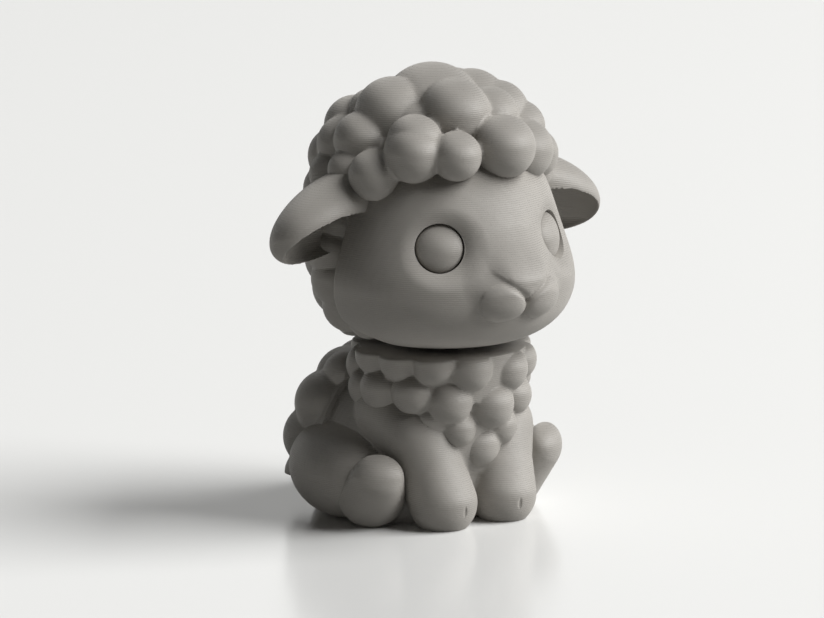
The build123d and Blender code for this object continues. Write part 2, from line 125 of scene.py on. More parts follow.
# Turn, rise above the rump's middle, size share, reach share
BACK_CURLS = (
    (-112, 52, 0.85, 1.03), (-140, 48, 1.05, 1.03), (-168, 50, 1.05, 1.04), (164, 50, 1.05, 1.04),
    (136, 48, 1.05, 1.0), (110, 50, 0.85, 0.98), (-116, 32, 1.1, 1.05), (-140, 28, 1.12, 1.04),
    (-163, 30, 1.12, 1.02), (174, 30, 1.12, 1.02), (151, 30, 1.12, 1.02), (128, 30, 1.1, 1.01),
    (106, 32, 1.0, 1.0), (-128, 9, 1.1, 1.03), (-151, 9, 1.1, 1.02), (152, 9, 1.1, 1.02),
    (129, 9, 1.1, 1.03), (-127, -13, 0.9, 1.03), (-148, -13, 0.95, 1.03), (148, -13, 0.95, 1.03),
    (127, -13, 0.9, 1.03), (175, 8, 1.0, 0.98),
)
# Places and radii, from the root to the tip
TAIL_BALLS = (((0, 14.5, 5.1), 2.2), ((0, 15.2, 3.5), 1.6))

# The smooth body, where places off the middle are those of the lamb's left side
RUMP_RADIUS = 10.8
CHEST_MIDDLE = (0, -0.4, 9.8)
CHEST_RADIUS = 8.2
TORSO_TOP = 15.6
# Places and radii, from the hoof up to the shoulder
FORELEG_BALLS = (
    ((3.7, -6.8, 2.5), 3.45), ((4.2, -5.5, 5.8), 3.38), ((4.9, -4.2, 9.0), 3.7),
    ((5.0, -0.6, 10.8), 4.3),
)
CLEFT_PLACE = (3.4, -10.55, 1.5)
CLEFT_HALF = (0.34, 0.5, 1.6)
THIGH_PLACE = (8.9, 3.6, 4.9)
THIGH_HALF = (4.7, 7.2, 4.9)
THIGH_TURN = 10.0
# Seen from the front the hind foot is broad at the heel and narrow at the toe, which leans out
HEEL_PLACE = (9.5, -2.6, 3.0)
HEEL_HALF = (3.35, 1.9, 3.05)
TOE_PLACE = (10.4, -4.9, 5.85)
TOE_HALF = (2.65, 1.75, 2.4)
FOOT_TURN = 36.0
# The left foot stands a little steeper: its toe is this much higher, and the right one lower
TOE_UNEVENNESS = 0.35

# Radius and height of the turned face, from the middle of the chin to the crown
FACE_PROFILE = (
    (0.0, 18.0), (4.2, 18.0), (7.2, 18.2), (9.8, 19.0), (11.7, 20.35), (12.9, 22.0), (13.5, 24.0),
    (13.2, 26.3), (12.4, 28.6), (11.6, 31.0), (10.8, 33.5), (9.9, 35.4), (8.1, 37.2), (5.2, 38.6),
    (0.0, 39.4),
)
# The front is turned in finer steps than the back, which the fleece hides
FACE_FRONT_SPAN = 210.0
FACE_FRONT_STEPS = 21
FACE_BACK_STEPS = 6
# The face ends this far behind the head's axis and at this height, inside the fleece
FACE_BACK_Y = 3.0
FACE_TOP = 37.7
# Nearer to the axis than this, the face stays as it is turned
FACE_UNTOUCHED_RADIUS = 6.0
# The front of the muzzle, which gets a finer mesh for its creases
MUZZLE_FRONT_Y = -9.0
MUZZLE_HALF_WIDTH = 6.5
MUZZLE_HEIGHTS = (20.5, 31.0)
# Past its rim the face tucks in under the fleece, further forward at the jaw than at the cheek
CHEEK_RIM = 90.0
JAW_RIM = 66.0
JAW_HEIGHTS = (17.7, 21.5)
RIM_WIDTH = 9.0
TUCK_SHARE = 0.17

EYE_PLACE = (6.75, -10.3, 29.1)
EYE_TURN = 38.0
# The eyes look a little more forward than the cheek that carries them
EYE_FACING = 35.0
EYE_TILT = 12.0
# Shares of the eye's radius and heights over its seat, and the depth of its hidden base
EYE_DOME = ((0.0, 0.9), (0.3, 0.83), (0.6, 0.63), (0.84, 0.32), (0.97, 0.0), (1.0, -0.35))
EYE_BASE = -1.2
# The socket is a round bore, a hair wider than the eye and a little wider still at its mouth
SOCKET_CLEARANCE = 0.015
SOCKET_FLARE = 0.1
SOCKET_FLOOR = -1.0
SOCKET_MOUTH = 3.0

# The soft forms of the face, by distance from its middle line and by height
DISH_DEPTH = 0.8
DISH_RADIUS = 2.3
# The dish is less high than wide, and lies a little nearer to the nose than the eye
DISH_FLATNESS = 1.1
DISH_INWARD = 0.5
# Each flank, start and end is the stretch over which a form fades
BRIDGE_RISE = 0.5
BRIDGE_FLANK = (0.4, 4.2)
BRIDGE_START = (23.5, 26.5)
BRIDGE_END = (29.0, 35.0)
SWELL_RISE = 0.75
SWELL_HEIGHT = 25.8
SWELL_HALF_WIDTH = 6.4
SWELL_HALF_HEIGHT = 5.4
# The V under the nose, from its point on the middle line outward and up
GROOVE_POINT = 24.15
GROOVE_SLOPE = 0.85
GROOVE_EDGE = (-0.35, 0.35)
NOSE_RISE = 0.55
NOSE_FLANK = (1.6, 3.8)
NOSE_END = (25.6, 30.0)
LIP_PLACE = (2.2, 23.95)
LIP_HALF = (2.6, 2.1)
LIP_RISE = 0.95
# The lips meet each other and the chin sharply, and melt into the cheeks above a sloping line
LIP_MEETING = 0.1
LIP_EDGE = 0.05
LIP_MELT_HEIGHT = 24.4
LIP_MELT_SLOPE = 0.55
LIP_MELT = (0.0, 2.2)
# Past its rim a lip's form falls away by this many times its rise
CUSHION_FALL = 2.5
# Start, end, depth and half width of the creases, which lose this share of their depth
V_CREASE = ((0.0, 24.1), (2.15, 25.95), 0.5, 0.42)
MOUTH_CREASE = ((0.0, 24.0), (0.0, 22.2), 0.35, 0.35)
CREASE_FADE = 0.7

# A fat drooping leaf: its middle, the directions of its tip and of its mouth, its half sizes
EAR_MIDDLE = (12.35, 0.5, 31.6)
EAR_TIP = (0.92, -0.21, -0.33)
EAR_MOUTH = (-0.34, -0.55, -0.77)
EAR_HALF = (8.0, 5.0, 3.55)
# Shares of the leaf: where its root is cut, and the hollow, which is smaller and nearer its mouth
EAR_ROOT = -0.5
EAR_HOLLOW_SIZE = 0.75
EAR_HOLLOW_PLACE = (0.25, 0.09, 0.45)
EAR_GRAIN_SHARE = 0.6

# Relief of the print, in metres
LAP_BULGE = 0.000032
LAP_STEP = 0.00022
NOZZLE_WANDER = 0.00003
GRAIN_HEIGHT = 0.000012
# Waves of its patterns in one metre: about 4 mm, 0.3 mm and 5 mm long
WANDER_WAVES = 260.0
GRAIN_WAVES = 3200.0
CLOUD_WAVES = 190.0

# The stage, in metres and degrees
FLOOR_SIZE = 2.0
# Share of the floor's colour that goes back up as light
FLOOR_BOUNCE = 0.55
CAMERA_TURN = 36.0
CAMERA_RISE = 10.9
CAMERA_DISTANCE = 0.6
CAMERA_LENS = 259.5
SENSOR_WIDTH = 36.0
CAMERA_CLIP_END = 10.0
# The camera aims a little to the left of the lamb's middle and below it
LAMB_MIDDLE = (0, 0.003, 0.023)
AIM_LEFT = 0.000354
AIM_DOWN = 0.002717
# Shares of the camera's right, back and up
WINDOW_DIRECTION = (0.75, 0.17, 0.66)
WINDOW_DISTANCE = 1.8
WINDOW_SIZE = 1.3
WINDOW_POWER = 51.0
ROOM_FILL = 0.005


class LambSizes(PropertyGroup):
    layer_height: FloatProperty(
        name="Layer Height", description="Height of one printed layer",
        default=0.0002, min=0.00005, unit="LENGTH", subtype="DISTANCE",
    )
    fleece_grain: FloatProperty(
        name="Fleece Grain", description="Edge length of the mesh that joins the curls",
        default=0.00016, min=0.00008, unit="LENGTH", subtype="DISTANCE",
    )
    body_grain: FloatProperty(
        name="Body Grain", description="Edge length of the mesh of the smooth body forms",
        default=0.00024, min=0.0001, unit="LENGTH", subtype="DISTANCE",
    )
    eye_radius: FloatProperty(
        name="Eye Radius", description="Radius of the domed eyes",
        default=0.00243, min=0.001, unit="LENGTH", subtype="DISTANCE",
    )


class LambColours(PropertyGroup):
    plastic: StringProperty(
        name="Plastic", description="Colour of the printed grey plastic, as an sRGB hex value",
        default="a09c96",
    )
    floor: StringProperty(
        name="Floor", description="Colour of the pale floor, as an sRGB hex value",
        default="f3f3f1",
    )
    backdrop: StringProperty(
        name="Backdrop", description="Colour that the camera sees beyond the floor, as an sRGB hex value",
        default="fafaf8",
    )


def linear(hex_colour):
    """An sRGB hex value as the linear colour that the shaders take."""
    levels = [int(hex_colour[i:i + 2], 16) / 255 for i in (0, 2, 4)]
    return (*[c / 12.92 if c <= 0.04045 else ((c + 0.055) / 1.055) ** 2.4 for c in levels], 1.0)


def around(middle, turn, rise, distance):
    """The point at a turn from the front and a rise above the level."""
    level = distance * cos(radians(rise))
    return Vector((
        middle[0] + level * sin(radians(turn)),
        middle[1] - level * cos(radians(turn)),
        middle[2] + distance * sin(radians(rise)),
    ))


def on_side(place, side):
    """A place of the lamb's left side, brought to the given side."""
    return (side * place[0], *place[1:])


def smooth_step(value, low, high):
    """Zero up to the low value and one from the high value, with a soft rise between them."""
    share = min(max((value - low) / (high - low), 0.0), 1.0)
    return share * share * (3 - 2 * share)


def smooth_larger(a, b, soft):
    """The larger of two heights, with a fillet of the given softness between them."""
    meet = max(soft - abs(a - b), 0.0) / soft
    return max(a, b) + meet * meet * soft / 4


def add_ball(bm, place, radius, stretch=(1, 1, 1), turn=None, detail=5):
    """A round curl or limb end, stretched along its own axes and turned into place."""
    matrix = Matrix.Translation(place)
    if turn is not None:
        matrix = matrix @ turn
    matrix = matrix @ Matrix.Diagonal((radius * stretch[0], radius * stretch[1], radius * stretch[2], 1))
    bmesh.ops.create_icosphere(bm, subdivisions=detail, radius=1.0, matrix=matrix)


def add_curl(bm, middle, turn, rise, reach, radius):
    """A round curl whose outer side lies at the reach from the middle."""
    add_ball(bm, around(middle, turn, rise, reach - radius), radius)


def wrap_new(bm, earlier):
    """Wraps a hull round the points that were added after an earlier number of them."""
    bm.verts.ensure_lookup_table()
    bmesh.ops.convex_hull(bm, input=bm.verts[earlier:])


def add_limb(bm, stations, detail=4):
    """A tapered limb through balls, each given as a place and a radius."""
    for (start, start_radius), (end, end_radius) in zip(stations, stations[1:]):
        earlier = len(bm.verts)
        add_ball(bm, start, start_radius, detail=detail)
        add_ball(bm, end, end_radius, detail=detail)
        wrap_new(bm, earlier)


def cut_flat(bm, place, normal):
    """Cuts away what lies beyond a plane and closes the cut."""
    geom = bm.verts[:] + bm.edges[:] + bm.faces[:]
    cut = bmesh.ops.bisect_plane(bm, geom=geom, plane_co=place, plane_no=normal, clear_outer=True)
    edges = [e for e in cut["geom_cut"] if isinstance(e, bmesh.types.BMEdge)]
    bmesh.ops.contextual_create(bm, geom=edges)


def finished_form(bm, name, modifiers):
    """Runs modifiers over a bmesh and gives the result as a new bmesh."""
    mesh = bpy.data.meshes.new(name)
    bm.to_mesh(mesh)
    bm.free()
    bench = bpy.data.objects.new(name, mesh)
    bpy.context.scene.collection.objects.link(bench)
    for number, (kind, settings) in enumerate(modifiers):
        modifier = bench.modifiers.new(f"{kind} {number}", kind)
        for setting, value in settings.items():
            setattr(modifier, setting, value)
    graph = bpy.context.evaluated_depsgraph_get()
    result = bpy.data.meshes.new_from_object(bench.evaluated_get(graph))
    bpy.data.objects.remove(bench)
    bpy.data.meshes.remove(mesh)
    form = bmesh.new()
    form.from_mesh(result)
    bpy.data.meshes.remove(result)
    return form


def rounded(bm, name, levels):
    """Subdivides a form until it is round."""
    return finished_form(bm, name, [("SUBSURF", {"levels": levels, "render_levels": levels})])


def joined(bm, grain, rounds, factor=0.5):
    """Joins overlapping forms into one skin of even grain and softens it a little."""
    return finished_form(bm, "joined", [
        ("REMESH", {"mode": "VOXEL", "voxel_size": grain / METRES_PER_MM, "adaptivity": 0.0}),
        ("SMOOTH", {"factor": factor, "iterations": rounds}),
    ])


def cut_by(bm, tool):
    """Cuts one closed form out of another, exactly."""
    cutter_mesh = bpy.data.meshes.new("cutter")
    tool.to_mesh(cutter_mesh)
    tool.free()
    cutter = bpy.data.objects.new("cutter", cutter_mesh)
    bpy.context.scene.collection.objects.link(cutter)
    steps = [("BOOLEAN", {"operation": "DIFFERENCE", "solver": "EXACT", "object": cutter})]
    bm = finished_form(bm, "cut", steps)
    bpy.data.objects.remove(cutter)
    bpy.data.meshes.remove(cutter_mesh)
    return bm


def place_piece(bm, name, body, nodes, material, crisp=None):
    """Brings a finished form to metres and makes it the piece that stands for its nodes."""
    bmesh.ops.remove_doubles(bm, verts=bm.verts, dist=PIECE_WELD)
    bmesh.ops.recalc_face_normals(bm, faces=bm.faces)
    bmesh.ops.scale(bm, vec=(METRES_PER_MM,) * 3, verts=bm.verts)
    for face in bm.faces:
        face.smooth = True
    mesh = bpy.data.meshes.new(name)
    bm.to_mesh(mesh)
    bm.free()
    if crisp is not None:
        mesh.set_sharp_from_angle(angle=radians(crisp))
    piece = bpy.data.objects.new(name, mesh)
    bpy.context.scene.collection.objects.link(piece)
    piece.data.materials.append(material)
    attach(piece, body)
    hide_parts(*nodes)
    return piece


def node(tree, kind, settings=None, links=None):
    """Adds a node, sets its properties and sockets, and links its inputs."""
    made = tree.nodes.new(kind)
    for key, value in (settings or {}).items():
        if isinstance(key, str) and hasattr(made, key):
            setattr(made, key, value)
        else:
            made.inputs[key].default_value = value
    for key, socket in (links or {}).items():
        tree.links.new(socket, made.inputs[key])
    return made


def layered_print(name):
    """Matt PLA, melted and laid in flat layers 0.2 mm high.

    The eye gets fine level lines on steep walls, wide bright terraces where the form turns
    up to the sky, and a soft satin edge. A faint mottling breaks the even grey.
    """
    found = bpy.data.materials.get(name)
    if found:
        return found
    sizes = bpy.context.scene.lamb_sizes
    colours = bpy.context.scene.lamb_colours
    material = bpy.data.materials.new(name)
    material.use_nodes = True
    tree = material.node_tree
    tree.nodes.clear()
    place = node(tree, "ShaderNodeTexCoord").outputs["Object"]
    split = node(tree, "ShaderNodeSeparateXYZ", links={0: place})
    facing = node(tree, "ShaderNodeNewGeometry")
    facing_split = node(tree, "ShaderNodeSeparateXYZ", links={0: facing.outputs["Normal"]})

    # The nozzle wanders by a few hundredths of a millimetre along each lap
    wander = node(
        tree, "ShaderNodeTexNoise", {"Scale": WANDER_WAVES, "Detail": 2.0}, {"Vector": place},
    )
    wander_height = node(
        tree, "ShaderNodeMath", {"operation": "MULTIPLY_ADD", 1: NOZZLE_WANDER, 2: -NOZZLE_WANDER / 2},
        {0: wander.outputs["Fac"]},
    )
    level = node(
        tree, "ShaderNodeMath", {"operation": "ADD"},
        {0: split.outputs["Z"], 1: wander_height.outputs[0]},
    )
    layers = node(
        tree, "ShaderNodeMath", {"operation": "DIVIDE", 1: sizes.layer_height},
        {0: level.outputs[0]},
    )
    within = node(tree, "ShaderNodeMath", {"operation": "FRACT"}, {0: layers.outputs[0]})

    # A lap's side bulges, and the more level the form is, the more each lap is a terrace
    bulge = node(
        tree, "ShaderNodeMath", {"operation": "PINGPONG", 1: 0.5}, {0: within.outputs[0]},
    )
    bulge_height = node(
        tree, "ShaderNodeMath", {"operation": "MULTIPLY", 1: LAP_BULGE}, {0: bulge.outputs[0]},
    )
    upward = node(tree, "ShaderNodeMath", {"operation": "ABSOLUTE"}, {0: facing_split.outputs["Z"]})
    terrace = node(
        tree, "ShaderNodeMath", {"operation": "MULTIPLY"},
        {0: within.outputs[0], 1: upward.outputs[0]},
    )
    terrace_height = node(
        tree, "ShaderNodeMath", {"operation": "MULTIPLY_ADD", 1: -LAP_STEP},
        {0: terrace.outputs[0], 2: bulge_height.outputs[0]},
    )
    grain = node(
        tree, "ShaderNodeTexNoise", {"Scale": GRAIN_WAVES, "Detail": 3.0, "Roughness": 0.6},
        {"Vector": place},
    )
    surface = node(
        tree, "ShaderNodeMath", {"operation": "MULTIPLY_ADD", 1: GRAIN_HEIGHT},
        {0: grain.outputs["Fac"], 2: terrace_height.outputs[0]},
    )
    bump = node(
        tree, "ShaderNodeBump", {"Strength": 1.0, "Distance": 1.0},
        {"Height": surface.outputs[0]},
    )

    # The grey varies a little, in clouds a few millimetres wide, and the sheen with the grain
    cloud = node(
        tree, "ShaderNodeTexNoise", {"Scale": CLOUD_WAVES, "Detail": 4.0}, {"Vector": place},
    )
    tone = node(
        tree, "ShaderNodeMapRange", {"From Min": 0.3, "From Max": 0.7, "To Min": 0.93, "To Max": 1.05},
        {"Value": cloud.outputs["Fac"]},
    )
    colour = node(
        tree, "ShaderNodeVectorMath", {"operation": "SCALE", 0: linear(colours.plastic)[:3]},
        {"Scale": tone.outputs["Result"]},
    )
    roughness = node(
        tree, "ShaderNodeMapRange", {"From Min": 0.3, "From Max": 0.7, "To Min": 0.5, "To Max": 0.62},
        {"Value": grain.outputs["Fac"]},
    )
    plastic = node(
        tree, "ShaderNodeBsdfPrincipled", {"IOR": 1.46},
        {"Base Color": colour.outputs[0], "Roughness": roughness.outputs["Result"],
         "Normal": bump.outputs["Normal"]},
    )
    node(tree, "ShaderNodeOutputMaterial", links={"Surface": plastic.outputs[0]})
    return material


def cushion(across, height, middle, half_width, half_height, rise):
    """The height of a rounded cushion over the face, falling below zero past its rim."""
    away = sqrt(((across - middle[0]) / half_width) ** 2 + ((height - middle[1]) / half_height) ** 2)
    return rise * sqrt(1 - away ** 2) if away < 1 else CUSHION_FALL * rise * (1 - away)


def crease(across, height, start, end, depth, half_width):
    """The depth of a rounded crease over the face, fading from its start to its end."""
    along = Vector(end) - Vector(start)
    point = Vector((across, height)) - Vector(start)
    share = min(max(point.dot(along) / along.length_squared, 0.0), 1.0)
    away = (point - share * along).length / half_width
    return depth * (1 - CREASE_FADE * share) / (1 + away ** 2) ** 2


def face_reach(turn, height, plain):
    """The sculpted reach of the face at a turn and a height, from its plain turned reach."""
    across = turn * plain
    aside = abs(across)
    # A soft dish round each eye, which the bridge of the nose runs between
    beside_eye = aside - radians(EYE_TURN) * plain + DISH_INWARD
    from_eye = Vector((beside_eye, DISH_FLATNESS * (height - EYE_PLACE[2]))).length
    dish = min(max(1 - (from_eye - DISH_RADIUS) / DISH_RADIUS, 0.0), 1.0) ** 2
    reach = plain - DISH_DEPTH * dish
    bridge = BRIDGE_RISE * (1 - smooth_step(aside, *BRIDGE_FLANK))
    reach += bridge * smooth_step(height, *BRIDGE_START) * (1 - smooth_step(height, *BRIDGE_END))
    # The whole muzzle swells forward
    swell = 1 - (across / SWELL_HALF_WIDTH) ** 2 - ((height - SWELL_HEIGHT) / SWELL_HALF_HEIGHT) ** 2
    reach += SWELL_RISE * max(swell, 0.0) ** 1.5
    # The nose ends below in a V, and two lips fill the space under it
    above_groove = smooth_step(height - GROOVE_POINT - GROOVE_SLOPE * aside, *GROOVE_EDGE)
    nose = above_groove * (1 - smooth_step(height, *NOSE_END))
    reach += NOSE_RISE * nose * (1 - smooth_step(aside, *NOSE_FLANK))
    right_lip, left_lip = [
        cushion(across, height, on_side(LIP_PLACE, side), *LIP_HALF, LIP_RISE)
        for side in SIDES.values()
    ]
    above_melt = height - LIP_MELT_HEIGHT + LIP_MELT_SLOPE * (aside - LIP_PLACE[0])
    softness = LIP_EDGE + smooth_step(above_melt, *LIP_MELT)
    lips = smooth_larger(0.0, smooth_larger(right_lip, left_lip, LIP_MEETING), softness)
    reach += lips * (1 - above_groove)
    # A crease follows each side of the V, and the mouth is parted under it
    return reach - crease(aside, height, *V_CREASE) - crease(aside, height, *MOUTH_CREASE)


def eye_seat(side):
    """Where an eye sits: its Z points out of the socket, up with the slope of the face."""
    turned = Matrix.Rotation(radians(side * EYE_FACING), 4, "Z")
    tilted = Matrix.Rotation(radians(90 - EYE_TILT), 4, "X")
    return Matrix.Translation(on_side(EYE_PLACE, side)) @ turned @ tilted


def weld_seam(bm):
    """Closes the seam and poles of a turned form and turns its faces outward."""
    bmesh.ops.remove_doubles(bm, verts=bm.verts, dist=SEAM_WELD)
    bmesh.ops.recalc_face_normals(bm, faces=bm.faces)


def in_muzzle(vert):
    """Whether a point of the face lies in the front of the muzzle."""
    low, high = MUZZLE_HEIGHTS
    before = vert.co.y < MUZZLE_FRONT_Y
    return before and abs(vert.co.x) < MUZZLE_HALF_WIDTH and low < vert.co.z < high


def turned_face():
    """The plain face, turned about the head's axis and cut off where the fleece hides it."""
    bm = bmesh.new()
    start = radians(-FACE_FRONT_SPAN / 2)
    verts = [bm.verts.new((r * sin(start), -r * cos(start), z)) for r, z in FACE_PROFILE]
    edges = [bm.edges.new(pair) for pair in zip(verts, verts[1:])]
    front = bmesh.ops.spin(
        bm, geom=verts + edges, cent=(0, 0, 0), axis=(0, 0, 1), angle=radians(FACE_FRONT_SPAN),
        steps=FACE_FRONT_STEPS,
    )
    bmesh.ops.spin(
        bm, geom=front["geom_last"], cent=(0, 0, 0), axis=(0, 0, 1),
        angle=radians(360 - FACE_FRONT_SPAN), steps=FACE_BACK_STEPS,
    )
    weld_seam(bm)
    bm = rounded(bm, "face", levels=4)
    cut_flat(bm, (0, FACE_BACK_Y, 0), (0, 1, 0))
    cut_flat(bm, (0, 0, FACE_TOP), (0, 0, 1))
    return bm


def sculpt_face(bm):
    """Gives the plain face its soft forms, and tucks it in behind its rim."""
    near = [e for e in bm.edges if all(in_muzzle(v) for v in e.verts)]
    bmesh.ops.subdivide_edges(bm, edges=near, cuts=1, use_grid_fill=True)
    for vert in bm.verts:
        plain = sqrt(vert.co.x ** 2 + vert.co.y ** 2)
        if plain < FACE_UNTOUCHED_RADIUS:
            continue
        turn = -Vector((0, -1)).angle_signed(vert.co.xy, 0.0)
        reach = plain
        if vert.co.y < 0:
            reach = face_reach(turn, vert.co.z, plain)
        rim = JAW_RIM + (CHEEK_RIM - JAW_RIM) * smooth_step(vert.co.z, *JAW_HEIGHTS)
        reach *= 1 - TUCK_SHARE * smooth_step(abs(turn), radians(rim), radians(rim + RIM_WIDTH))
        vert.co.x = reach * sin(turn)
        vert.co.y = -reach * cos(turn)


def socket_cutters(radius):
    """The round cutters that bore the two eye sockets."""
    middle = Matrix.Translation((0, 0, (SOCKET_FLOOR + SOCKET_MOUTH) / 2))
    cutters = bmesh.new()
    for side in SIDES.values():
        bmesh.ops.create_cone(
            cutters, cap_ends=True, segments=96, radius1=radius, radius2=radius + SOCKET_FLARE,
            depth=SOCKET_MOUTH - SOCKET_FLOOR, matrix=eye_seat(side) @ middle,
        )
    return cutters


class LAMB_OT_face(Operator):
    """Sculpt the face with its muzzle, nose and eye sockets"""

    bl_idname = "lamb.face"
    bl_label = "Face"

    def execute(self, context):
        bm = turned_face()
        sculpt_face(bm)
        bmesh.ops.translate(bm, vec=(0, HEAD_AXIS_Y, 0), verts=bm.verts)
        eye_radius = context.scene.lamb_sizes.eye_radius / METRES_PER_MM
        bm = cut_by(bm, socket_cutters(eye_radius + SOCKET_CLEARANCE))
        place_piece(bm, "lamb_face", "head", ["head"], layered_print("Matt PLA face"), crisp=50)
        return {"FINISHED"}


class LAMB_OT_eyes(Operator):
    """Turn the two domed eyes and set them in their sockets"""

    bl_idname = "lamb.eyes"
    bl_label = "Eyes"

    def execute(self, context):
        radius = context.scene.lamb_sizes.eye_radius / METRES_PER_MM
        profile = [(share * radius, height) for share, height in EYE_DOME]
        profile += [(radius, EYE_BASE), (0.0, EYE_BASE)]
        for name, side in SIDES.items():
            bm = bmesh.new()
            verts = [bm.verts.new((reach, 0, height)) for reach, height in profile]
            edges = [bm.edges.new(pair) for pair in zip(verts, verts[1:])]
            bmesh.ops.spin(
                bm, geom=verts + edges, cent=(0, 0, 0), axis=(0, 0, 1), angle=2 * pi, steps=32,
                use_merge=True,
            )
            weld_seam(bm)
            bmesh.ops.transform(bm, matrix=eye_seat(side), verts=bm.verts)
            bm = rounded(bm, "eye", levels=2)
            place_piece(
                bm, f"lamb_{name}_eye", "head", [f"{name}_eye"], layered_print("Matt PLA eyes"),
            )
        return {"FINISHED"}


def ear_seat(side):
    """Brings a unit ball to an ear: its X to the tip and its Z out of the mouth."""
    tip = Vector(EAR_TIP).normalized()
    mouth = Vector(EAR_MOUTH)
    mouth = (mouth - mouth.dot(tip) * tip).normalized()
    seat = Matrix((tip, mouth.cross(tip), mouth)).transposed().to_4x4()
    seat.translation = EAR_MIDDLE
    if side < 0:
        seat = Matrix.Diagonal((-1, 1, 1, 1)) @ seat
    return seat @ Matrix.Diagonal((*EAR_HALF, 1))


class LAMB_OT_ears(Operator):
    """Shape the two drooping ears, hollow towards the front and below"""

    bl_idname = "lamb.ears"
    bl_label = "Ears"

    def execute(self, context):
        for name, side in SIDES.items():
            seat = ear_seat(side)
            bm = bmesh.new()
            bmesh.ops.create_icosphere(bm, subdivisions=6, radius=1.0)
            bmesh.ops.bisect_plane(
                bm, geom=bm.verts[:] + bm.edges[:] + bm.faces[:], plane_co=(EAR_ROOT, 0, 0),
                plane_no=(-1, 0, 0), clear_outer=True,
            )
            bmesh.ops.holes_fill(bm, edges=[e for e in bm.edges if e.is_boundary])
            bmesh.ops.transform(bm, matrix=seat, verts=bm.verts)
            bmesh.ops.recalc_face_normals(bm, faces=bm.faces)
            hollow = bmesh.new()
            bmesh.ops.create_icosphere(hollow, subdivisions=6, radius=EAR_HOLLOW_SIZE)
            bmesh.ops.translate(hollow, vec=EAR_HOLLOW_PLACE, verts=hollow.verts)
            bmesh.ops.transform(hollow, matrix=seat, verts=hollow.verts)
            bmesh.ops.recalc_face_normals(hollow, faces=hollow.faces)
            bm = cut_by(bm, hollow)
            bm = joined(bm, EAR_GRAIN_SHARE * context.scene.lamb_sizes.fleece_grain, rounds=12)
            place_piece(
                bm, f"lamb_{name}_ear", "head", [f"{name}_ear"], layered_print("Matt PLA ears"),
            )
        return {"FINISHED"}


class LAMB_OT_head_fleece(Operator):
    """Heap the curls of the head and join them into one cap"""

    bl_idname = "lamb.head_fleece"
    bl_label = "Head Fleece"

    def execute(self, context):
        bm = bmesh.new()
        crown = (0, FLEECE_Y, CROWN_HEIGHT)
        nape = (0, FLEECE_Y, NAPE_HEIGHT)
        for curls, middle, reach in ((CROWN_CURLS, crown, CROWN_REACH), (NAPE_CURLS, nape, NAPE_REACH)):
            for turn, rise, size_share, reach_share in curls:
                add_curl(bm, middle, turn, rise, reach_share * reach, size_share * HEAD_CURL_RADIUS)
        add_ball(bm, crown, CROWN_CORE_RADIUS)
        add_ball(bm, nape, NAPE_CORE_RADIUS)
        grain = HEAD_GRAIN_SHARE * context.scene.lamb_sizes.fleece_grain
        bm = joined(bm, grain, rounds=1, factor=0.4)
        cut_flat(bm, (0, 0, CHIN_HEIGHT + FLEECE_ABOVE_CHIN), (0, 0, -1))
        place_piece(
            bm, "lamb_head_fleece", "head", ["head_fleece"], layered_print("Matt PLA fleece"),
        )
        return {"FINISHED"}


class LAMB_OT_collar(Operator):
    """Join the curls of the collar and the bib"""

    bl_idname = "lamb.collar"
    bl_label = "Collar and Bib"

    def execute(self, context):
        bm = bmesh.new()
        for turn, height_share, size_share, reach_share in COLLAR_CURLS:
            middle = (0, HEAD_AXIS_Y, height_share * COLLAR_TOP)
            add_curl(bm, middle, turn, 0, reach_share * COLLAR_REACH, size_share * COLLAR_CURL_RADIUS)
        core_middle = (0, HEAD_AXIS_Y, COLLAR_TOP - COLLAR_CORE_HEIGHT / 2)
        bmesh.ops.create_cone(
            bm, cap_ends=True, segments=96, radius1=COLLAR_CORE_FOOT, radius2=COLLAR_CORE_TOP,
            depth=COLLAR_CORE_HEIGHT, matrix=Matrix.Translation(core_middle),
        )
        bm = joined(bm, context.scene.lamb_sizes.fleece_grain, rounds=1, factor=0.4)
        # Under the head the tops of the curls are pressed down, and stay round
        for vert in bm.verts:
            above = vert.co.z - COLLAR_TOP + COLLAR_PRESSED_BAND
            if above > 0:
                pressed = COLLAR_PRESSED_BAND * tanh(above / COLLAR_PRESSED_BAND)
                vert.co.z = COLLAR_TOP - COLLAR_PRESSED_BAND + pressed
        place_piece(
            bm, "lamb_collar_and_bib", "body", ["collar_and_bib"],
            layered_print("Matt PLA fleece"),
        )
        return {"FINISHED"}


class LAMB_OT_back_fleece(Operator):
    """Join the broad flat curls of the back"""

    bl_idname = "lamb.back_fleece"
    bl_label = "Back Fleece"

    def execute(self, context):
        bm = bmesh.new()
        for turn, rise, size_share, reach_share in BACK_CURLS:
            add_curl(
                bm, BACK_MIDDLE, turn, rise, reach_share * BACK_REACH, size_share * BACK_CURL_RADIUS,
            )
        add_ball(bm, BACK_MIDDLE, BACK_CORE_RADIUS)
        bm = joined(bm, BACK_GRAIN_SHARE * context.scene.lamb_sizes.fleece_grain, rounds=2)
        cut_flat(bm, (0, BACK_FRONT_Y, 0), (0, -1, 0))
        cut_flat(bm, (0, 0, BACK_FOOT), (0, 0, -1))
        cut_flat(bm, (0, 0, COLLAR_TOP), (0, 0, 1))
        place_piece(
            bm, "lamb_back_fleece", "body", ["back_fleece"], layered_print("Matt PLA fleece"),
        )
        return {"FINISHED"}


